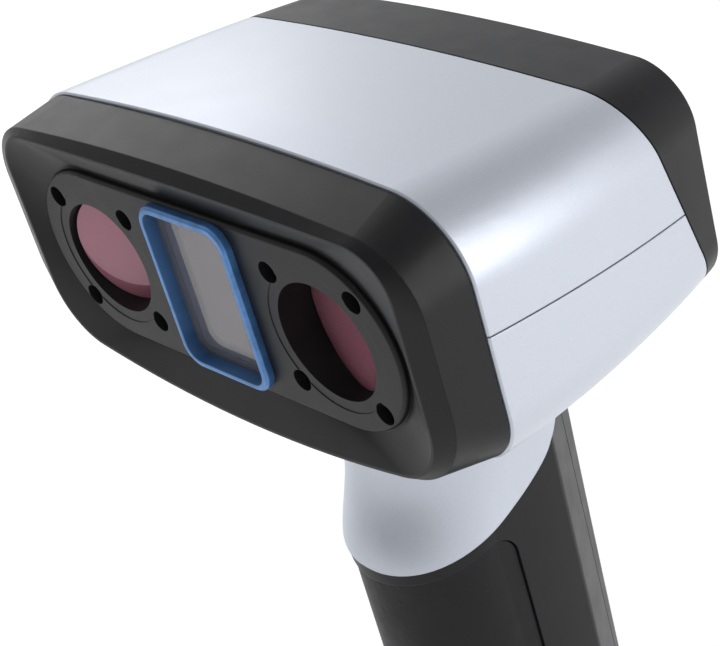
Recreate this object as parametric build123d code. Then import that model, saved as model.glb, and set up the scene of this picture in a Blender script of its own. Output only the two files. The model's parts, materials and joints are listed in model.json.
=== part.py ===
"""Handheld structured-light scanner: a wide optical head on a vertical grip, in millimetres.

+Z runs up the grip, the lenses look towards -Y, and the origin is the middle of the flat base.
Head parts are drawn in a face frame (origin on the front panel between the lens axes, depth along +Y)
and then moved to their place above the base.
"""
import os
from math import radians, sin, tan

from build123d import *

# ---- driving dimensions -------------------------------------------------------------------------
FACE_HEIGHT = 210.0  # lens axes above the base
FACE_DEPTH = -37.0  # front panel plane, measured from the grip axis

# outline of the head: depth, half width, top, top bow, top radius, bottom, bottom bow, bottom radius
RIM = (0.3, 54.6, 24.9, 2.8, 12.2, -26.6, 7.5, 17.0)
RIM_EDGE = (-1.25, 50.3, 22.85, 0.7, 8.8, -24.7, 5.4, 12.0)
BEZEL_BACK = (10.1, 54.6, 26.0, 2.6, 14.0, -26.9, 5.4, 10.5)
SHELL_SECTIONS = (
    (10.4, 55.0, 26.7, 3.0, 14.5, -27.4, 5.6, 11.0),
    (30.0, 54.2, 23.8, 2.8, 14.0, -28.0, 4.2, 10.7),
    (50.0, 51.9, 20.7, 2.5, 12.5, -28.5, 3.6, 10.3),
    (69.5, 48.2, 17.5, 2.2, 11.0, -28.5, 2.8, 10.0),
)
DISH_DEPTH = 1.0
SHELL_WALL = 2.2
SHELL_BEVEL = 0.35
BEZEL_FRONT = 4.2
GASKET = 0.3
PARTING_HEIGHT = 2.35
PARTING_SLOPE = 0.18
PARTING_GAP = 0.3
CAP_JOINT_DEPTH = 58.1
CAP_JOINT_SLOPE = 0.3
CAP_GAP = 0.3
REAR_WALL = 2.5

# front panel and optics
LENS_SPACING = 57.6
LENS_BORE = 10.8
LENS_STEP = 13.0
LENS_STEP_DEPTH = 0.12
PANEL_TOP = 17.2
PANEL_BOTTOM = -16.6
PANEL_END = 46.0
PANEL_ROUND = 0.8
LED_X = 9.8
LED_Z = 10.4
LED_HOLE = 2.0
FILTER_TILT = 16.0
FILTER_THICK = 1.2
FILTER_DEPTH = 4.7
BARREL_TOE = 3.5
FRAME_FRONT = 19.2
FRAME_SCREW_X = 48.5
WINDOW_HALF = 11.4
WINDOW_TOP = 16.7
WINDOW_BOTTOM = -15.5
WINDOW_RADIUS = 4.3
WINDOW_PROUD = 1.7
WINDOW_WALL = 1.3
GLASS_DEPTH = 0.8
GLASS_BACK = GLASS_DEPTH + 1.2
COATED_FRONT = 4.3
COATED_BACK = 5.3
PROJECTOR_Z = 6.5
LASER_X = 3.6
LASER_Z = -7.5

# grip: height above the base, nose radius, nose centre, crease, rear corner, rear depth, side bulge
GRIP_SECTIONS = (
    (14.0, 18.2, -6.6, 11.0, 10.0, 25.4),
    (60.0, 17.3, -6.6, 9.6, 9.1, 23.2),
    (105.0, 17.3, -6.7, 10.0, 9.1, 23.9),
    (145.0, 17.1, -6.7, 11.0, 9.2, 25.2),
    (188.0, 17.1, -6.8, 13.0, 9.6, 27.5),
)
GRIP_SPLIT = 19.0
# flared collar: height, half width, front, rear, roundness of the corners
COLLAR_SECTIONS = (
    (136.0, 18.1, -24.0, 25.5, 0.97),
    (143.0, 18.1, -23.5, 25.3, 0.97),
    (149.0, 18.0, -21.0, 25.0, 0.97),
    (156.0, 18.2, -18.2, 24.8, 0.95),
    (165.0, 20.0, -17.6, 25.2, 0.92),
    (176.0, 27.8, -20.2, 27.0, 0.82),
    (187.5, 44.0, -25.2, 29.5, 0.62),
)
# side view of the joint between grip and collar: depth and height
JOINT_CURVE = ((-45.0, 137.0), (-24.0, 141.0), (-8.0, 145.1), (3.0, 148.6),
               (11.4, 153.8), (16.5, 161.0), (20.0, 176.0), (21.0, 200.0))
GRIP_WALL = 2.4
PAD_RECESS = 0.5
PAD_THICK = 1.3
PAD_REAR = -3.0
PAD_CORNER = 5.0
COLLAR_REAR = 19.3
PAD_BOTTOM = 30.0
PAD_TOP = 138.2
PAD_SLOPE = 0.25
GRIP_SCREW_HEIGHTS = (30.0, 84.0)
GRIP_SCREW_DEPTH = 21.4
BASE_ROUND = 2.0
BASE_SCREW_X = 11.5
POWER_BORE = 3.2
POWER_Y = 12.0
DATA_Y = -8.0

# controls on the rear face
REAR_FACE = SHELL_SECTIONS[-1][0]
CONTROL_HEIGHT = -4.0
FASCIA_RADIUS = 17.2
FASCIA_SEAT = 15.6
FASCIA_STEP = 1.0
RING_INNER = 7.05
RING_OUTER = 7.95
SCAN_BUTTON = 6.6
KEY_INNER = 8.6
KEY_OUTER = 14.2
KEY_ARC = 66.0
KEY_CORNER = 1.0
KEY_LIP = 0.8
BUTTON_GAP = 0.35
BUTTON_PROUD = 1.3
BUTTON_TRAVEL = 0.8
FAN_X = 29.0
FAN_Z = CONTROL_HEIGHT - 1
FAN_RADIUS = 11.0
FAN_POST = 1.0


# ---- helpers ------------------------------------------------------------------------------------
def depth_plane(depth):
    """Plane facing the front at this depth, with its own y along the object's Z."""
    return Plane(origin=(0, depth, 0), x_dir=(1, 0, 0), z_dir=(0, -1, 0))


def outline(section, inset=0.0):
    """Rounded outline of the head at one depth, drawn inset from the outer surface."""
    depth, half, top, top_bow, top_radius, bottom, bottom_bow, bottom_radius = section
    half -= inset
    top -= inset
    bottom += inset
    top_radius = max(top_radius - inset, 1.0)
    bottom_radius = max(bottom_radius - inset, 1.0)
    upper = ThreePointArc((-half, top - top_bow), (0, top), (half, top - top_bow))
    lower = ThreePointArc((half, bottom + bottom_bow), (0, bottom), (-half, bottom + bottom_bow))
    right = Line(upper @ 1, lower @ 0)
    left = Line(lower @ 1, upper @ 0)
    face = make_face([upper, right, lower, left])
    face = fillet(corners_at(face, top - top_bow), top_radius)
    face = fillet(corners_at(face, bottom + bottom_bow), bottom_radius)
    return depth_plane(depth) * face


def corners_at(face, height):
    """The face's corners at one height of its own y axis."""
    return [v for v in face.vertices() if abs(v.Y - height) < 0.01]


def moved_section(section, depth):
    """The same outline at another depth."""
    return (depth,) + tuple(section[1:])


def head_solid(inset=0.0):
    """The silver and black body of the head from the bezel joint to the rear face."""
    return loft([outline(s, inset) for s in SHELL_SECTIONS])


def block(x0, x1, y0, y1, z0, z1):
    """Axis-aligned block between two corners."""
    return Pos((x0 + x1) / 2, (y0 + y1) / 2, (z0 + z1) / 2) * Box(x1 - x0, y1 - y0, z1 - z0)


def rod(x, z, radius, y0, y1):
    """Cylinder along the depth axis."""
    return Pos(x, (y0 + y1) / 2, z) * Rot(90, 0, 0) * Cylinder(radius, y1 - y0)


def prism(sketch, y0, y1):
    """A sketch drawn in the face plane, extruded from depth y0 to y1."""
    return extrude(depth_plane(y0) * sketch, -(y1 - y0))


def half_space(point, normal):
    """Large block that fills the side of a plane that its normal points to."""
    size = 400.0
    return Plane(origin=point, z_dir=normal) * Pos(0, 0, size / 2) * Box(size, size, size)


def stadium(top, bottom, end):
    """Flat-sided outline with round ends, drawn in the face plane."""
    height = top - bottom
    return Pos(0, (top + bottom) / 2) * SlotOverall(2 * end, height)


def window_outline(inset=0.0):
    """Rounded rectangle of the projector window."""
    width = 2 * (WINDOW_HALF - inset)
    height = WINDOW_TOP - WINDOW_BOTTOM - 2 * inset
    centre = (WINDOW_TOP + WINDOW_BOTTOM) / 2
    return Pos(0, centre) * RectangleRounded(width, height, WINDOW_RADIUS - inset)


def lens_centre(side):
    return side * LENS_SPACING / 2


# ---- head shells --------------------------------------------------------------------------------
def front_bezel():
    """Wide chamfer outside, shallow dish inside, and an opening for the front panel."""
    body = loft([outline(RIM_EDGE), outline(RIM)], ruled=True)
    body += loft([outline(RIM), outline(BEZEL_BACK)], ruled=True)
    foot = stadium(PANEL_TOP + 0.3, PANEL_BOTTOM - 0.3, PANEL_END + 0.3)
    mouth = outline(RIM_EDGE, 0.5)
    dish = loft([mouth, depth_plane(DISH_DEPTH) * foot], ruled=True)
    body -= dish
    body -= prism(stadium(PANEL_TOP, PANEL_BOTTOM, PANEL_END), -5, BEZEL_FRONT + 5)
    cavity = loft([outline(moved_section(BEZEL_BACK, BEZEL_FRONT), 4.0),
                   outline(moved_section(BEZEL_BACK, BEZEL_BACK[0] + 0.2), 2.6)], ruled=True)
    return body - cavity


def front_panel():
    plate = prism(stadium(PANEL_TOP - 0.02, PANEL_BOTTOM + 0.02, PANEL_END - 0.02), 0, BEZEL_FRONT)
    plate = fillet(plate.faces().sort_by(Axis.Y)[0].outer_wire().edges(), PANEL_ROUND)
    flange = stadium(PANEL_TOP + 2.0, PANEL_BOTTOM - 2.0, PANEL_END + 2.0)
    plate += prism(flange, BEZEL_FRONT, BEZEL_FRONT + 1.4)
    for side in (-1, 1):
        x = lens_centre(side)
        plate -= rod(x, 0, LENS_STEP, -1, LENS_STEP_DEPTH)
        plate += rod(x, 0, LENS_BORE + 1.3, LENS_STEP_DEPTH, 9.4)
        plate -= rod(x, 0, LENS_BORE, -1, 10)
        for dx in (-LED_X, LED_X):
            for dz in (-LED_Z, LED_Z):
                plate -= rod(x + dx, dz, LED_HOLE, -1, 10)
    plate -= prism(window_outline(0.8), -1, 10)
    return plate


def bezel_gasket():
    outer = outline(moved_section(BEZEL_BACK, BEZEL_BACK[0]), 0.7)
    ring = extrude(outer, -GASKET)
    inner = outline(moved_section(BEZEL_BACK, BEZEL_BACK[0] - 1), 2.2)
    return ring - extrude(inner, -4)


def parting_side(direction, gap):
    """Everything above (+1) or below (-1) the slanted parting plane of the shells."""
    point = (0, SHELL_SECTIONS[0][0], PARTING_HEIGHT + direction * gap / 2)
    return half_space(point, (0, direction * PARTING_SLOPE, direction))


def cap_side(direction, gap):
    """Everything behind (+1) or ahead of (-1) the slanted joint of the rear cap."""
    point = (0, CAP_JOINT_DEPTH + direction * gap / 2, 0)
    return half_space(point, (0, direction, direction * CAP_JOINT_SLOPE))


def hollow_head():
    return head_solid() - inner_head()


def inner_head():
    """The space inside the head's wall, closed by the rear wall."""
    first, rear = SHELL_SECTIONS[0], SHELL_SECTIONS[-1]
    sections = [moved_section(first, first[0] - 0.5), *SHELL_SECTIONS[:-1],
                moved_section(rear, REAR_FACE - REAR_WALL)]
    return loft([outline(s, SHELL_WALL) for s in sections])


def shell_lip(wall):
    """Fine bevel around the front edge of the silver shell."""
    first = SHELL_SECTIONS[0]
    front = first[0] - 0.01
    bevel = extrude(outline(moved_section(first, front), -1.0), -SHELL_BEVEL)
    cone = loft([outline(moved_section(first, front), SHELL_BEVEL),
                 outline(moved_section(first, front + SHELL_BEVEL), -0.05)], ruled=True)
    return wall - (bevel - cone)


def upper_shell(shell):
    return shell_lip(shell & cap_side(-1, CAP_GAP) & parting_side(1, PARTING_GAP))


def lower_shell(shell):
    body = shell_lip(shell & cap_side(-1, CAP_GAP) & parting_side(-1, PARTING_GAP))
    return body - cable_way()


def cable_way():
    """Round passage from the head down through the collar."""
    return Pos(0, -FACE_DEPTH, -45) * Cylinder(8.0, 60)


def control_sketches():
    """Openings for the centre button and the four arc-shaped keys, in the rear face."""
    return [Circle(SCAN_BUTTON)] + [key_sketch(turn * 90) for turn in range(4)]


def key_sketch(angle, inset=0.0):
    """One arc-shaped key of the ring, centred on an angle from the horizontal."""
    ring = Circle(KEY_OUTER - inset) - Circle(KEY_INNER + inset)
    reach = KEY_OUTER * 1.5
    spread = reach * tan(radians(KEY_ARC / 2))
    tip = inset / sin(radians(KEY_ARC / 2))
    wedge = make_face(Polyline((tip, 0), (tip + reach, -spread), (tip + reach, spread), close=True))
    ring = Rot(0, 0, angle) * (ring & wedge)
    return fillet(ring.vertices(), KEY_CORNER)


def vent_slots(x):
    """A block of horizontal vent slots in the rear face."""
    slots = Sketch()
    for row in range(-4, 5):
        slots += Pos(x, FAN_Z + row * 2.8) * SlotOverall(17, 1.3)
    return slots


def rear_cap(shell):
    cap = shell & cap_side(1, CAP_GAP)
    rim = cap.faces().sort_by(Axis.Y)[-1].outer_wire().edges()
    cap = chamfer(rim, 1.6)
    cap -= rod(0, CONTROL_HEIGHT, FASCIA_RADIUS, REAR_FACE - FASCIA_STEP, REAR_FACE + 1)
    cap -= rod(0, CONTROL_HEIGHT, FASCIA_SEAT, REAR_FACE - 5, REAR_FACE)
    for x in (-FAN_X, FAN_X):
        cap -= prism(vent_slots(x), REAR_FACE - 5, REAR_FACE + 1)
    return cap


def control_fascia():
    plate = rod(0, CONTROL_HEIGHT, FASCIA_RADIUS - 0.1, REAR_FACE - FASCIA_STEP, REAR_FACE - 0.1)
    plate += rod(0, CONTROL_HEIGHT, FASCIA_SEAT - 0.1, REAR_FACE - REAR_WALL, REAR_FACE - FASCIA_STEP)
    for sketch in control_sketches():
        plate -= prism(Pos(0, CONTROL_HEIGHT) * sketch, REAR_FACE - 5, REAR_FACE + 1)
    return plate - status_ring(1.0)


def status_ring(proud=0.05):
    """Light guide set flush in the fascia around the centre button."""
    ring = rod(0, CONTROL_HEIGHT, RING_OUTER, REAR_FACE - 0.6, REAR_FACE + proud)
    return ring - rod(0, CONTROL_HEIGHT, RING_INNER, REAR_FACE - 2, REAR_FACE + 2)


def scan_button():
    cap = rod(0, CONTROL_HEIGHT, SCAN_BUTTON - BUTTON_GAP, REAR_FACE - 3.6, REAR_FACE + BUTTON_PROUD)
    cap = fillet(cap.faces().sort_by(Axis.Y)[-1].edges(), 0.6)
    cap += rod(0, CONTROL_HEIGHT, SCAN_BUTTON + 1.0, REAR_FACE - 4.6, REAR_FACE - 3.6)
    return cap


def arc_key(turn):
    face = Pos(0, CONTROL_HEIGHT) * key_sketch(turn * 90, BUTTON_GAP)
    key = prism(face, REAR_FACE - 3.6, REAR_FACE + BUTTON_PROUD - 0.5)
    key = fillet(key.faces().sort_by(Axis.Y)[-1].edges(), 0.4)
    lip = Pos(0, CONTROL_HEIGHT) * key_sketch(turn * 90, -KEY_LIP)
    return key + prism(lip, REAR_FACE - 4.6, REAR_FACE - 3.6)


# ---- optics -------------------------------------------------------------------------------------
def window_frame():
    frame = prism(window_outline(), -WINDOW_PROUD, 0)
    frame += prism(window_outline(0.85), 0, 5.4)
    frame -= prism(window_outline(WINDOW_WALL), -5, GLASS_BACK)
    frame -= prism(window_outline(WINDOW_WALL + 0.9), GLASS_BACK, 6)
    front = frame.faces().sort_by(Axis.Y)[0]
    return chamfer(front.outer_wire().edges(), 0.45)


def projector_window():
    return prism(window_outline(WINDOW_WALL), GLASS_DEPTH, GLASS_BACK)


def projector_filter():
    """Coated inner glass, set behind the clear outer window."""
    return prism(window_outline(WINDOW_WALL + 1.6), COATED_FRONT, COATED_BACK)


def projector_mask():
    """Light baffle around and behind the coated glass."""
    baffle = prism(window_outline(WINDOW_WALL + 0.95), GLASS_BACK, 9.0)
    baffle -= prism(window_outline(WINDOW_WALL + 1.55), GLASS_DEPTH, COATED_BACK)
    baffle -= rod(0, PROJECTOR_Z, 4.6, 5, 10)
    for x in (-LASER_X, LASER_X):
        baffle -= rod(x, LASER_Z, 2.2, 5, 10)
    return baffle


def filter_glass(side):
    disc = Rot(90, 0, 0) * Cylinder(LENS_BORE - 0.04, FILTER_THICK)
    return Pos(lens_centre(side), FILTER_DEPTH, 0) * Rot(0, 0, -side * FILTER_TILT) * disc


def barrel_frame(side):
    return Pos(lens_centre(side), 10.0, 0) * Rot(0, 0, -side * BARREL_TOE)


def camera_barrel(side):
    barrel = rod(0, 0, 9.0, 0, 9) + rod(0, 0, 10.4, 9, 12) + rod(0, 0, 9.0, 12, 22)
    barrel -= rod(0, 0, 6.4, -1, 3)
    barrel -= rod(0, 0, 5.0, 2, 23)
    return barrel_frame(side) * barrel


def camera_lens(side):
    dome = Pos(0, 9.5, 0) * Sphere(10.0) & rod(0, 0, 6.38, -1, 3)
    return barrel_frame(side) * dome


def sensor_board(side):
    board = block(-11, 11, 22, 23.6, -11, 11)
    board += block(-6.5, 6.5, 23.6, 26.5, -5, 5)
    return barrel_frame(side) * board


def led_board(side):
    x = lens_centre(side)
    return rod(x, 0, 17.0, 5.7, 7.2) - rod(x, 0, LENS_BORE + 1.4, 5, 8)


def led_group(side):
    leds = []
    for dx in (-LED_X, LED_X):
        for dz in (-LED_Z, LED_Z):
            body = rod(lens_centre(side) + dx, dz, 1.5, 1.9, 5.7)
            leds.append(fillet(body.faces().sort_by(Axis.Y)[0].edges(), 1.2))
    return leds


def optical_frame():
    """Cast plate that holds both cameras and the projector at fixed angles."""
    plate = block(-50, 50, FRAME_FRONT, FRAME_FRONT + 3.2, -15, 15)
    for side in (-1, 1):
        plate -= barrel_frame(side) * rod(0, 0, 9.02, -5, 40)
        plate -= barrel_frame(side) * rod(0, 0, 10.45, 8.9, 12.05)
    plate -= block(-9.5, 9.5, 10, 30, -13, 13)
    for x in (-FRAME_SCREW_X, FRAME_SCREW_X):
        plate -= rod(x, 0, 1.3, 10, 30)
    return plate


def projector_body():
    body = block(-9.4, 9.4, 13, 44, -12.9, 12.9)
    body += rod(0, PROJECTOR_Z, 4.4, 9.2, 13)
    body -= rod(0, PROJECTOR_Z, 3.7, 8, 12)
    for x in (-LASER_X, LASER_X):
        body -= rod(x, LASER_Z, 2.35, 12, 20)
    return body


def projector_lens():
    return Pos(0, 13.2, PROJECTOR_Z) * Sphere(4.2) & rod(0, PROJECTOR_Z, 3.68, 8, 12)


def laser_modules():
    return [rod(x, LASER_Z, 2.3, 9.4, 19.9) for x in (-LASER_X, LASER_X)]


def heat_sink():
    sink = block(-9, 9, 44, 46, -12, 12)
    for row in range(6):
        z = -11 + row * 4.4
        sink += block(-9, 9, 46, 54, z - 0.7, z + 0.7)
    return sink


def main_board():
    return block(-24, 24, 57, 58.6, -20, 12) + block(-8, 8, 58.6, 60.2, -6, 6)


def button_board():
    """Small round board with one dome switch behind each key."""
    switch = REAR_FACE - 4.6 - BUTTON_TRAVEL - 0.4
    top = switch - 1.2
    board = rod(0, CONTROL_HEIGHT, 15.0, top - 1.4, top)
    for turn in range(4):
        spot = Rot(0, turn * 90, 0) * Pos((KEY_INNER + KEY_OUTER) / 2, 0, 0)
        board += Pos(0, 0, CONTROL_HEIGHT) * spot * rod(0, 0, 1.4, top, switch)
    return board + rod(0, CONTROL_HEIGHT, 2.0, top, switch)


def fan_frame():
    """Square housing with a round duct; a cross arm carries the hub and its post."""
    half = FAN_RADIUS + 2
    start = REAR_FACE - 10.6
    end = REAR_FACE - 3.2
    frame = block(-FAN_X - half, -FAN_X + half, start, end, FAN_Z - half, FAN_Z + half)
    frame -= rod(-FAN_X, FAN_Z, FAN_RADIUS + 1, start - 1, end + 1)
    frame += block(-FAN_X - half + 0.5, -FAN_X + half - 0.5, start, start + 1, FAN_Z - 1, FAN_Z + 1)
    frame += rod(-FAN_X, FAN_Z, 5.0, start, start + 1)
    return frame + rod(-FAN_X, FAN_Z, FAN_POST, start, REAR_FACE - 4.5)


def fan_rotor():
    rotor = Cylinder(4.4, 4.2)
    for blade in range(7):
        fin = Pos(7.0, 0, 0) * Rot(38, 0, 0) * Box(6.4, 5.0, 0.7)
        rotor += Rot(0, 0, blade * 360 / 7) * fin
    rotor &= Cylinder(FAN_RADIUS - 0.4, 4.6)
    rotor -= Cylinder(FAN_POST + 0.05, 10)
    return Pos(-FAN_X, REAR_FACE - 6.7, FAN_Z) * Rot(90, 0, 0) * rotor


# ---- grip ---------------------------------------------------------------------------------------
def grip_outline(section, inset=0.0, height=None):
    """Outline of the grip: a round nose, nearly straight sides, then slanted rear facets."""
    level, radius, nose, crease, corner, rear = section
    radius -= inset
    side = radius + 0.9
    corner -= inset * 0.45
    rear -= inset
    crease -= inset * 0.3
    rear_corner = rear - 1.2
    right = ThreePointArc((radius, nose), (side, (nose + crease) / 2 + 1.5), (side - 0.2, crease))
    nose_arc = ThreePointArc((-radius, nose), (0, nose - radius), (radius, nose))
    facet = Line((side - 0.2, crease), (corner, rear_corner))
    back = ThreePointArc((corner, rear_corner), (0, rear), (-corner, rear_corner))
    left_facet = Line((-corner, rear_corner), (-side + 0.2, crease))
    left = ThreePointArc((-side + 0.2, crease), (-side, (nose + crease) / 2 + 1.5), (-radius, nose))
    face = make_face([nose_arc, right, facet, back, left_facet, left])
    rear_vertices = face.vertices().group_by(Axis.Y)[-1]
    face = fillet(rear_vertices, 3.0)
    crease_vertices = [v for v in face.vertices() if abs(v.Y - crease) < 0.01]
    face = fillet(crease_vertices, 2.0)
    return Pos(0, 0, level if height is None else height) * face


def grip_solid(inset=0.0):
    return loft([grip_outline(s, inset) for s in GRIP_SECTIONS])


def side_prism(face):
    """A side view drawn as depth and height, extruded across the object."""
    return extrude(Plane(origin=(-40, 0, 0), x_dir=(0, 1, 0), z_dir=(1, 0, 0)) * face, 80)


def below_collar(drop=0.0):
    """Everything under and behind the curved joint between collar and grip."""
    points = [(y, z - drop) for y, z in JOINT_CURVE]
    curve = Spline(points)
    rest = Polyline(curve @ 1, (60, points[-1][1]), (60, -20), (points[0][0], -20), curve @ 0)
    return side_prism(make_face([curve, rest]))


def collar_outline(level, half, front, rear, power):
    """Rounded outline of the flared collar at one height."""
    width = 2 * half
    depth = rear - front
    radius = min(width, depth) / 2 * power
    return Pos(0, (front + rear) / 2, level) * RectangleRounded(width, depth, radius)


def collar_sections(inset=0.0):
    return [collar_outline(z, half - inset, front + inset, rear - inset, power)
            for z, half, front, rear, power in COLLAR_SECTIONS]


def neck_collar(head):
    outer = loft(collar_sections())
    body = outer - loft(collar_sections(GRIP_WALL))
    rear_wall = outer & block(-50, 50, COLLAR_REAR - GRIP_WALL, COLLAR_REAR, 150, 200)
    body += rear_wall - grip_solid(-0.05)
    body = body - below_collar() - head
    return max(body.solids(), key=lambda solid: solid.volume)


def pad_mask(inset=0.0):
    """Side view of the rubber grip pad, extruded across the grip."""
    nose = -24.0
    front = -40.0
    rear = PAD_REAR - inset
    top = PAD_TOP - inset
    side = make_face(Polyline((front, PAD_BOTTOM + inset), (rear, PAD_BOTTOM + inset),
                              (rear, top + (rear - nose) * PAD_SLOPE),
                              (front, top + (front - nose) * PAD_SLOPE), close=True))
    return side_prism(fillet(side.vertices().group_by(Axis.X)[-1], PAD_CORNER))


def grip_shells(head):
    outer = grip_solid()
    wall = (outer & below_collar()) - grip_solid(GRIP_WALL) - head
    wall += grip_plug()
    pocket = (outer - grip_solid(PAD_RECESS + PAD_THICK)) & pad_mask()
    front = (wall - pocket) & block(-40, 40, -60, GRIP_SPLIT - 0.08, 0, 260)
    rear = wall & block(-40, 40, GRIP_SPLIT + 0.08, 60, 0, 260)
    for z in GRIP_SCREW_HEIGHTS:
        boss = Pos(0, GRIP_SCREW_DEPTH - 0.6, z) * Rot(90, 0, 0) * Cylinder(4.2, 4.0)
        rear += boss & grip_solid(1.0)
        rear -= Pos(0, GRIP_SCREW_DEPTH + 5, z) * Rot(90, 0, 0) * Cylinder(2.5, 10)
        rear -= Pos(0, GRIP_SCREW_DEPTH, z) * Rot(90, 0, 0) * Cylinder(1.25, 20)
    return front, rear


def grip_plug():
    """Ring of material that closes the top of the grip under the collar."""
    band = (below_collar() - below_collar(4.0)) & block(-40, 40, -40, 16, 100, 170)
    return (grip_solid(GRIP_WALL - 0.01) & band) - Pos(0, 0, 150) * Cylinder(8.0, 80)


def grip_pad():
    layer = grip_solid(PAD_RECESS) - grip_solid(PAD_RECESS + PAD_THICK)
    return layer & pad_mask(0.15)


def base_cap():
    first = GRIP_SECTIONS[0]
    foot = extrude(grip_outline(first, 0.0, 0.0), first[0] - 0.2)
    foot = fillet(foot.faces().sort_by(Axis.Z)[0].edges(), BASE_ROUND)
    foot -= extrude(grip_outline(first, 2.6, 3.0), 30)
    foot -= Pos(0, POWER_Y, 0) * Cylinder(4.6, 20)
    foot -= Pos(0, DATA_Y, 0) * Box(13.4, 7.2, 20)
    for x in (-BASE_SCREW_X, BASE_SCREW_X):
        foot -= Pos(x, 2, 0) * Cylinder(1.3, 20)
        foot -= Pos(x, 2, 0) * Cylinder(2.4, 4.0)
    return foot


def power_socket():
    body = Pos(0, POWER_Y, 7.5) * Cylinder(4.55, 13)
    return body - Pos(0, POWER_Y, 5) * Cylinder(POWER_BORE, 12)


def data_socket():
    body = Pos(0, DATA_Y, 8.0) * Box(13.3, 7.1, 14)
    body -= Pos(0, DATA_Y, 4.5) * Box(12.1, 5.9, 15)
    return body + Pos(0, DATA_Y + 2.4, 7.0) * Box(9.0, 1.1, 10)


def grip_board():
    board = block(-12, 12, 0.8, 2.4, 22, 120)
    return board + block(-6, 6, -1.0, 0.8, 60, 74)


def harness():
    """Cable bundle inside the grip, from the grip board up into the head."""
    path = FilletPolyline((0, 4.2, 112), (0, 4.2, 150), (0, 2.0, 178), (0, 2.0, 188), radius=12)
    return sweep(Plane(path @ 0, z_dir=path % 0) * Circle(1.7), path=path)


def screw(x, y, z, direction):
    """Small pan-head screw, its head at the point and its shank along the direction."""
    head = Pos(0, 0, -0.9) * Cylinder(2.2, 1.8)
    head -= Pos(0, 0, -1.4) * Cylinder(0.9, 1.2)
    body = head + Pos(0, 0, 4.0) * Cylinder(1.2, 8.0)
    return Plane(origin=(x, y, z), z_dir=direction) * body


def base_screws():
    return [screw(x, 2, 2.0, (0, 0, 1)) for x in (-BASE_SCREW_X, BASE_SCREW_X)]


def grip_screws():
    return [screw(0, GRIP_SCREW_DEPTH, z, (0, -1, 0)) for z in GRIP_SCREW_HEIGHTS]


def frame_screws():
    return [screw(x, FRAME_FRONT, 0, (0, 1, 0)) for x in (-FRAME_SCREW_X, FRAME_SCREW_X)]


# ---- write every node ---------------------------------------------------------------------------
def write(name, shape, in_head=True):
    """Writes one node, moving head parts from the face frame to their place on the object."""
    if isinstance(shape, list):
        shape = Compound(children=shape)
    if in_head:
        shape = Pos(0, FACE_DEPTH, FACE_HEIGHT) * shape
    export_step(shape, f"parts/{name}.step")


def main():
    os.makedirs("parts", exist_ok=True)
    shell = hollow_head()
    write("front_bezel", front_bezel())
    write("front_panel", front_panel())
    write("bezel_gasket", bezel_gasket())
    write("upper_shell", upper_shell(shell))
    write("lower_shell", lower_shell(shell))
    write("rear_cap", rear_cap(shell))
    write("control_fascia", control_fascia())
    write("status_ring", status_ring())
    write("scan_button", scan_button())
    for turn, name in enumerate(("bright_up", "zoom_in", "bright_down", "zoom_out")):
        write(f"{name}_key", arc_key((turn + 1) % 4))
    write("window_frame", window_frame())
    write("projector_window", projector_window())
    write("projector_filter", projector_filter())
    write("projector_mask", projector_mask())
    write("projector_body", projector_body())
    write("projector_lens", projector_lens())
    write("laser_modules", laser_modules())
    for side, word in ((-1, "left"), (1, "right")):
        write(f"{word}_filter_glass", filter_glass(side))
        write(f"{word}_camera_barrel", camera_barrel(side))
        write(f"{word}_camera_lens", camera_lens(side))
        write(f"{word}_sensor_board", sensor_board(side))
        write(f"{word}_led_board", led_board(side))
        write(f"{word}_leds", led_group(side))
    write("optical_frame", optical_frame())
    write("heat_sink", heat_sink())
    write("main_board", main_board())
    write("button_board", button_board())
    write("fan_frame", fan_frame())
    write("fan_rotor", fan_rotor())
    write("frame_screws", frame_screws())
    head = Pos(0, FACE_DEPTH, FACE_HEIGHT) * head_solid()
    write("neck_collar", neck_collar(head), False)
    grip_front, grip_rear = grip_shells(head)
    write("grip_front", grip_front, False)
    write("grip_rear", grip_rear, False)
    write("grip_pad", grip_pad(), False)
    write("base_cap", base_cap(), False)
    write("power_socket", power_socket(), False)
    write("data_socket", data_socket(), False)
    write("grip_board", grip_board(), False)
    write("cable_harness", harness(), False)
    write("base_screws", base_screws(), False)
    write("grip_screws", grip_screws(), False)


main()
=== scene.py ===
"""Looks of the handheld scanner, in metres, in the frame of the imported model.

+Z runs up the grip, the lenses look towards -Y, and the origin is the middle of the flat base.
"""
import json

import bpy
from mathutils import Matrix, Vector

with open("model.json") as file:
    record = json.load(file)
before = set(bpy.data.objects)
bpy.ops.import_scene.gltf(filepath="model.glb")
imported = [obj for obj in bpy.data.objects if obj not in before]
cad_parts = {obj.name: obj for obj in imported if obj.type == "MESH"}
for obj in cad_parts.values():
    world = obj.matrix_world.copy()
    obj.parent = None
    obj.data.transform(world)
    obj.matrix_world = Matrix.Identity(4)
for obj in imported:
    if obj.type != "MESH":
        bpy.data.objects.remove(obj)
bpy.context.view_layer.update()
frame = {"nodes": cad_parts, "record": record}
nodes = frame["nodes"]

MM = 0.001
LENS_CENTRE = 28.8 * MM
# side of each outer lamp dome on which a yellow glint is painted as glow; it faces the front right
GLINT_SIDE = Vector((0.78, -0.55, 0.30)).normalized()
GLINT_GLOW = 1.5
NOISE_ROUGHNESS = 0.55
EDGE_PATCH = 0.004
EDGE_GAIN = 2.2
EDGE_LIFT = 0.03
GLASS_ROUGHNESS = 0.03

# stage: the lights aim at the middle of the head
HEAD = Vector((0.0, 0.0, 0.205))
FLOOR_HALF = 3.0
FLOOR_GLOW = 0.28
WORLD_STRENGTH = 0.85
# dark parts of the surroundings: direction, cosines of full and of no effect, and what is left
WORLD_GAPS = (
    ((0.30, 0.52, 0.82), 0.97, 0.66, 0.44),
    ((-0.1, -1.0, 0.1), 0.95, 0.20, 0.36),
)
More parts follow.
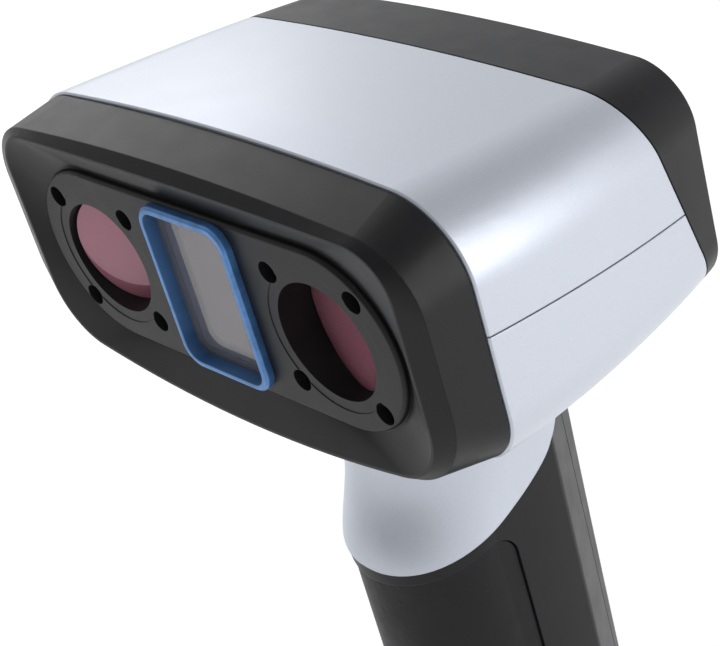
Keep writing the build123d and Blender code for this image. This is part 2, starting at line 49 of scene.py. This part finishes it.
# softboxes: name, direction, distance, size, energy
SOFTBOXES = (
    ("back_right", (0.85, 0.50, 0.20), 0.8, (0.22, 0.7), 2.0),
    ("back_left", (-0.85, 0.30, 0.45), 0.9, (0.6, 0.5), 1.6),
)
SENSOR_WIDTH = 36.0
LENS_LENGTH = 101.3
CAMERA_PLACE = (0.2509, -0.1818, 0.3741)
CAMERA_RIGHT = (0.6659, 0.7035, -0.2483)
CAMERA_BACK = (0.7037, -0.4816, 0.5225)


# ---- node helpers -------------------------------------------------------------------------------
class Surface:
    """A principled material whose colour, roughness and relief come from noise at real scale."""

    def __init__(self, name, colour, roughness, **settings):
        self.material = bpy.data.materials.new(name)
        self.material.use_nodes = True
        self.tree = self.material.node_tree
        self.shader = self.tree.nodes["Principled BSDF"]
        self.shader.inputs["Base Color"].default_value = (*colour, 1.0)
        self.shader.inputs["Roughness"].default_value = roughness
        for key, value in settings.items():
            self.shader.inputs[key.replace("_", " ")].default_value = value
        self.colour = colour
        self.roughness = roughness
        self.place = self.node("ShaderNodeTexCoord").outputs["Object"]
        self.normal = None

    def node(self, kind):
        return self.tree.nodes.new(kind)

    def link(self, source, target):
        self.tree.links.new(source, target)

    def noise(self, size, detail=3.0):
        """Noise whose features are about size metres across."""
        texture = self.node("ShaderNodeTexNoise")
        texture.inputs["Scale"].default_value = 1.0 / size
        texture.inputs["Detail"].default_value = detail
        texture.inputs["Roughness"].default_value = NOISE_ROUGHNESS
        self.link(self.place, texture.inputs["Vector"])
        return texture.outputs["Fac"]

    def remap(self, value, low, high, start=0.3, end=0.7):
        """Maps a texture's middle range to low..high."""
        node = self.node("ShaderNodeMapRange")
        node.inputs["From Min"].default_value = start
        node.inputs["From Max"].default_value = end
        node.inputs["To Min"].default_value = low
        node.inputs["To Max"].default_value = high
        self.link(value, node.inputs["Value"])
        return node.outputs["Result"]

    def vary_roughness(self, size, amount):
        low, high = self.roughness - amount, self.roughness + amount
        self.link(self.remap(self.noise(size), low, high), self.shader.inputs["Roughness"])
        return self

    def vary_colour(self, size, amount, edge=0.0):
        """Slight clouding of the colour, and lighter raised edges where edge is above zero: wear, and on the
        blue frame also a painted edge highlight.
        """
        mix = self.node("ShaderNodeMix")
        mix.data_type = "RGBA"
        mix.inputs["A"].default_value = (*[c * (1 - amount) for c in self.colour], 1.0)
        mix.inputs["B"].default_value = (*[min(c * (1 + amount), 1.0) for c in self.colour], 1.0)
        self.link(self.remap(self.noise(size), 0.0, 1.0), mix.inputs["Factor"])
        result = mix.outputs["Result"]
        if edge:
            result = self.lighten_edges(result, edge)
        self.link(result, self.shader.inputs["Base Color"])
        return self

    def lighten_edges(self, colour, amount):
        """Lightens raised edges, broken up by noise: wear, and on the blue frame also a painted edge
        highlight.
        """
        pointiness = self.node("ShaderNodeNewGeometry").outputs["Pointiness"]
        point = self.remap(pointiness, 0.0, 1.0, 0.52, 0.62)
        breakup = self.remap(self.noise(EDGE_PATCH), 0.0, amount, 0.35, 0.65)
        edge_light = self.node("ShaderNodeMath")
        edge_light.operation = "MULTIPLY"
        self.link(point, edge_light.inputs[0])
        self.link(breakup, edge_light.inputs[1])
        mix = self.node("ShaderNodeMix")
        mix.data_type = "RGBA"
        mix.inputs["B"].default_value = (*[min(c * EDGE_GAIN + EDGE_LIFT, 1.0) for c in self.colour], 1.0)
        self.link(edge_light.outputs["Value"], mix.inputs["Factor"])
        self.link(colour, mix.inputs["A"])
        return mix.outputs["Result"]

    def soften(self, radius):
        """Rounds the shading of sharp edges; the mesh itself stays sharp."""
        bevel = self.node("ShaderNodeBevel")
        bevel.samples = 6
        bevel.inputs["Radius"].default_value = radius
        self.normal = bevel.outputs["Normal"]
        self.link(self.normal, self.shader.inputs["Normal"])
        return self

    def paint_shade_in_recesses(self, reach, amount):
        """Paints shade into the colour: darkens inner corners and walls within reach metres."""
        closeness = self.node("ShaderNodeAmbientOcclusion")
        closeness.samples = 4
        closeness.inputs["Distance"].default_value = reach
        depth = self.remap(closeness.outputs["AO"], 1.0 - amount, 1.0, 0.35, 0.9)
        base = self.shader.inputs["Base Color"]
        mix = self.node("ShaderNodeMix")
        mix.data_type = "RGBA"
        mix.blend_type = "MULTIPLY"
        mix.inputs["Factor"].default_value = 1.0
        self.link(base.links[0].from_socket, mix.inputs["A"])
        self.link(depth, mix.inputs["B"])
        self.link(mix.outputs["Result"], base)
        return self

    def dots(self, spacing, size, depth):
        """Small dots that look raised; the mesh itself stays smooth."""
        cells = self.node("ShaderNodeTexVoronoi")
        cells.inputs["Scale"].default_value = 1.0 / spacing
        cells.inputs["Randomness"].default_value = 0.7
        self.link(self.place, cells.inputs["Vector"])
        height = self.remap(cells.outputs["Distance"], 1.0, 0.0, 0.0, size / spacing)
        return self.raise_by(height, depth)

    def relief(self, size, depth, detail=2.0):
        """Fine relief: features of the given size, and depth in metres."""
        return self.raise_by(self.noise(size, detail), depth)

    def raise_by(self, height, depth):
        """Adds a height texture, scaled to depth metres, on top of the relief so far."""
        bump = self.node("ShaderNodeBump")
        bump.inputs["Strength"].default_value = 1.0
        bump.inputs["Distance"].default_value = depth
        self.link(height, bump.inputs["Height"])
        if self.normal is not None:
            self.link(self.normal, bump.inputs["Normal"])
        self.normal = bump.outputs["Normal"]
        self.link(self.normal, self.shader.inputs["Normal"])
        return self


# ---- materials ----------------------------------------------------------------------------------
def black_plastic(name="black_plastic", edge_radius=0.0003):
    surface = Surface(name, (0.009, 0.009, 0.010), 0.38, Specular_IOR_Level=0.22)
    surface.vary_colour(0.012, 0.06, edge=0.10).vary_roughness(0.006, 0.03).soften(edge_radius)
    return surface.relief(0.00045, 0.000010).relief(0.00018, 0.000005).material


def silver_paint():
    surface = Surface("silver_paint", (0.55, 0.58, 0.645), 0.36, Metallic=0.55)
    surface.shader.inputs["Coat Weight"].default_value = 0.25
    surface.shader.inputs["Coat Roughness"].default_value = 0.32
    surface.vary_colour(0.00022, 0.05).vary_roughness(0.009, 0.02).soften(0.0003)
    return surface.relief(0.00030, 0.000003).material


def grip_rubber():
    surface = Surface("grip_rubber", (0.008, 0.008, 0.009), 0.50, Specular_IOR_Level=0.22)
    surface.vary_colour(0.010, 0.10, edge=0.1).vary_roughness(0.005, 0.05).soften(0.0004)
    return surface.dots(0.0034, 0.0006, 0.00008).relief(0.0004, 0.000014).material


def fascia_plastic():
    surface = Surface("fascia_plastic", (0.015, 0.015, 0.017), 0.16, Coat_Weight=0.5)
    surface.vary_colour(0.020, 0.10).vary_roughness(0.012, 0.03)
    return surface.relief(0.003, 0.000002).material


def button_plastic():
    surface = Surface("button_plastic", (0.045, 0.046, 0.050), 0.42)
    surface.vary_colour(0.006, 0.08, edge=0.5).vary_roughness(0.003, 0.04)
    return surface.relief(0.00030, 0.000010).material


def light_guide():
    surface = Surface("light_guide", (0.45, 0.68, 0.92), 0.35, Transmission_Weight=0.3)
    surface.shader.inputs["Emission Color"].default_value = (0.25, 0.55, 1.0, 1.0)
    surface.shader.inputs["Emission Strength"].default_value = 0.35
    surface.vary_colour(0.002, 0.05).vary_roughness(0.002, 0.04)
    return surface.relief(0.0004, 0.000005).material


def blue_anodised():
    surface = Surface("blue_anodised", (0.070, 0.195, 0.44), 0.34, Metallic=0.35)
    # edge=0.9 lightens the frame's front edges strongly: a painted edge highlight, with some wear
    surface.vary_colour(0.004, 0.06, edge=0.9).vary_roughness(0.003, 0.04).soften(0.0003)
    # painted shade: darkens the frame's inner walls and corners
    surface.paint_shade_in_recesses(0.005, 0.6)
    return surface.relief(0.00022, 0.000006).material


def inner_black():
    surface = Surface("inner_black", (0.012, 0.012, 0.013), 0.6)
    return surface.vary_colour(0.004, 0.15).vary_roughness(0.003, 0.06).relief(0.0005, 0.00002).material


def coated_glass(name, tint, clear=0.85, shine=0.6, coat=(1.0, 1.0, 1.0)):
    surface = Surface(name, tint, GLASS_ROUGHNESS, Transmission_Weight=clear, IOR=1.52)
    surface.shader.inputs["Specular Tint"].default_value = (*coat, 1.0)
    surface.shader.inputs["Coat Weight"].default_value = shine
    surface.shader.inputs["Coat Tint"].default_value = (*coat, 1.0)
    surface.shader.inputs["Coat Roughness"].default_value = 0.05
    return surface.vary_colour(0.006, 0.03).relief(0.004, 0.0000015).material


def inner_coating():
    """Opaque mauve coating of the inner glass."""
    surface = Surface("coated_glass", (0.074, 0.060, 0.068), 0.34, Coat_Weight=0.1)
    return surface.vary_colour(0.012, 0.04).vary_roughness(0.008, 0.02).relief(0.004, 0.000002).material


def barrel_metal():
    surface = Surface("barrel_metal", (0.05, 0.05, 0.055), 0.35, Metallic=0.8)
    surface.vary_colour(0.003, 0.1, edge=0.5).vary_roughness(0.002, 0.05)
    return surface.relief(0.0003, 0.00001).material


def circuit_board():
    surface = Surface("circuit_board", (0.012, 0.075, 0.035), 0.38)
    return surface.vary_colour(0.003, 0.25).vary_roughness(0.002, 0.05).relief(0.0006, 0.00002).material


def led_body():
    """Dark glossy dome; a yellow glint is painted as glow on the front-right side of each outer lamp dome."""
    surface = Surface("led_body", (0.06, 0.05, 0.015), 0.12, Coat_Weight=1.0)
    facing = surface.node("ShaderNodeVectorMath")
    facing.operation = "DOT_PRODUCT"
    facing.inputs[1].default_value = GLINT_SIDE
    surface.link(surface.node("ShaderNodeNewGeometry").outputs["Normal"], facing.inputs[0])
    across = surface.node("ShaderNodeSeparateXYZ")
    surface.link(surface.place, across.inputs["Vector"])
    distance = surface.node("ShaderNodeMath")
    distance.operation = "ABSOLUTE"
    surface.link(across.outputs["X"], distance.inputs[0])
    outer = surface.remap(distance.outputs["Value"], 0.0, 1.0, LENS_CENTRE - MM, LENS_CENTRE + MM)
    glint = surface.node("ShaderNodeMath")
    glint.operation = "MULTIPLY"
    lit = surface.remap(facing.outputs["Value"], 0.0, GLINT_GLOW, 0.80, 0.90)
    surface.link(lit, glint.inputs[0])
    surface.link(outer, glint.inputs[1])
    # painted glint: yellow glow only on the front-right side of the outer lamp domes, not a lamp that is on
    surface.link(glint.outputs["Value"], surface.shader.inputs["Emission Strength"])
    surface.shader.inputs["Emission Color"].default_value = (0.80, 0.72, 0.10, 1.0)
    return surface.vary_colour(0.0008, 0.3).vary_roughness(0.001, 0.04).relief(0.0008, 0.00003).material


def cast_alloy():
    surface = Surface("cast_alloy", (0.45, 0.46, 0.47), 0.42, Metallic=1.0)
    surface.vary_colour(0.004, 0.1, edge=0.3).vary_roughness(0.003, 0.08)
    return surface.relief(0.0006, 0.00002).material


def screw_steel():
    surface = Surface("screw_steel", (0.10, 0.10, 0.105), 0.34, Metallic=1.0)
    surface.vary_colour(0.002, 0.1, edge=0.6).vary_roughness(0.001, 0.05)
    return surface.relief(0.0003, 0.000008).material


def socket_metal():
    surface = Surface("socket_metal", (0.52, 0.53, 0.55), 0.28, Metallic=1.0)
    surface.vary_colour(0.003, 0.08, edge=0.3).vary_roughness(0.002, 0.06)
    return surface.relief(0.0005, 0.000008).material


def cable_jacket():
    surface = Surface("cable_jacket", (0.015, 0.015, 0.016), 0.5)
    return surface.vary_colour(0.004, 0.1).vary_roughness(0.003, 0.05).relief(0.0008, 0.00002).material


def gasket_rubber():
    surface = Surface("gasket_rubber", (0.010, 0.010, 0.011), 0.7)
    return surface.vary_colour(0.004, 0.1).vary_roughness(0.003, 0.05).relief(0.0006, 0.00002).material


FINISHES = {
    "black_plastic": black_plastic(),
    "gasket_rubber": gasket_rubber(),
    "silver_paint": silver_paint(),
    "fascia_plastic": fascia_plastic(),
    "button_plastic": button_plastic(),
    "light_guide": light_guide(),
    "blue_anodised": blue_anodised(),
    "window_glass": coated_glass("window_glass", (0.66, 0.62, 0.64), shine=0.0),
    "inner_black": inner_black(),
    "coated_glass": inner_coating(),
    "filter_glass": coated_glass("filter_glass", (0.50, 0.25, 0.31), clear=0.40,
                                 coat=(1.0, 0.70, 0.78)),
    "lens_glass": coated_glass("lens_glass", (0.35, 0.22, 0.34), coat=(0.8, 0.6, 0.9)),
    "barrel_metal": barrel_metal(),
    "circuit_board": circuit_board(),
    "led_body": led_body(),
    "cast_alloy": cast_alloy(),
    "screw_steel": screw_steel(),
    "grip_rubber": grip_rubber(),
    "socket_metal": socket_metal(),
    "cable_jacket": cable_jacket(),
}

# nodes whose fine details need a tighter edge than the rest of their slot
SPECIAL = {"front_panel": black_plastic("panel_plastic", 0.0001)}


def paint_cad_nodes():
    """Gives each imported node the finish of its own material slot."""
    for part in frame["record"]["subparts"]:
        mesh = nodes[part["node"]].data
        mesh.materials.clear()
        mesh.materials.append(SPECIAL.get(part["node"], FINISHES[part["material_slot"]]))


# ---- stage --------------------------------------------------------------------------------------
def softbox(name, direction, distance, size, energy):
    data = bpy.data.lights.new(name, "AREA")
    data.shape = "RECTANGLE"
    data.size, data.size_y = size
    data.energy = energy
    light = bpy.data.objects.new(name, data)
    bpy.context.scene.collection.objects.link(light)
    away = Vector(direction).normalized()
    light.location = HEAD + away * distance
    light.rotation_mode = "QUATERNION"
    light.rotation_quaternion = (-away).to_track_quat("-Z", "Y")


def floor():
    half = FLOOR_HALF
    data = bpy.data.meshes.new("floor")
    corners = [(-half, -half, 0), (half, -half, 0), (half, half, 0), (-half, half, 0)]
    data.from_pydata(corners, [], [(0, 1, 2, 3)])
    piece = bpy.data.objects.new("floor", data)
    bpy.context.scene.collection.objects.link(piece)
    surface = Surface("floor", (0.97, 0.97, 0.97), 0.9, Specular_IOR_Level=0.0)
    surface.shader.inputs["Emission Color"].default_value = (1.0, 1.0, 1.0, 1.0)
    surface.shader.inputs["Emission Strength"].default_value = FLOOR_GLOW
    data.materials.append(surface.vary_colour(0.4, 0.01).material)


def studio_world():
    """White surroundings with a dark gap high behind the head and a dimmer front."""
    world = bpy.data.worlds.new("studio")
    world.use_nodes = True
    tree = world.node_tree
    back = tree.nodes["Background"]
    back.inputs["Color"].default_value = (0.97, 0.98, 1.0, 1.0)
    place = tree.nodes.new("ShaderNodeTexCoord").outputs["Generated"]
    strength = None
    for direction, narrow, wide, dim in WORLD_GAPS:
        along = tree.nodes.new("ShaderNodeVectorMath")
        along.operation = "DOT_PRODUCT"
        along.inputs[1].default_value = Vector(direction).normalized()
        tree.links.new(place, along.inputs[0])
        gap = tree.nodes.new("ShaderNodeMapRange")
        gap.interpolation_type = "SMOOTHSTEP"
        gap.inputs["From Min"].default_value = wide
        gap.inputs["From Max"].default_value = narrow
        gap.inputs["To Min"].default_value = 1.0
        gap.inputs["To Max"].default_value = dim
        tree.links.new(along.outputs["Value"], gap.inputs["Value"])
        product = tree.nodes.new("ShaderNodeMath")
        product.operation = "MULTIPLY"
        product.inputs[1].default_value = WORLD_STRENGTH
        if strength is not None:
            tree.links.new(strength, product.inputs[1])
        tree.links.new(gap.outputs["Result"], product.inputs[0])
        strength = product.outputs["Value"]
    tree.links.new(strength, back.inputs["Strength"])
    bpy.context.scene.world = world


def lights():
    studio_world()
    for box in SOFTBOXES:
        softbox(*box)


def camera():
    """Three-quarter view from the front right, above the head, with the picture tilted."""
    data = bpy.data.cameras.new("camera")
    data.sensor_fit = "HORIZONTAL"
    data.sensor_width = SENSOR_WIDTH
    data.lens = LENS_LENGTH
    view = bpy.data.objects.new("camera", data)
    bpy.context.scene.collection.objects.link(view)
    right = Vector(CAMERA_RIGHT).normalized()
    back = Vector(CAMERA_BACK).normalized()
    up = back.cross(right).normalized()
    right = up.cross(back).normalized()
    turn = Matrix((right, up, back)).transposed()
    view.matrix_world = Matrix.Translation(CAMERA_PLACE) @ turn.to_4x4()
    bpy.context.scene.camera = view


paint_cad_nodes()
floor()
lights()
camera()
bpy.context.scene.view_settings.view_transform = "Standard"
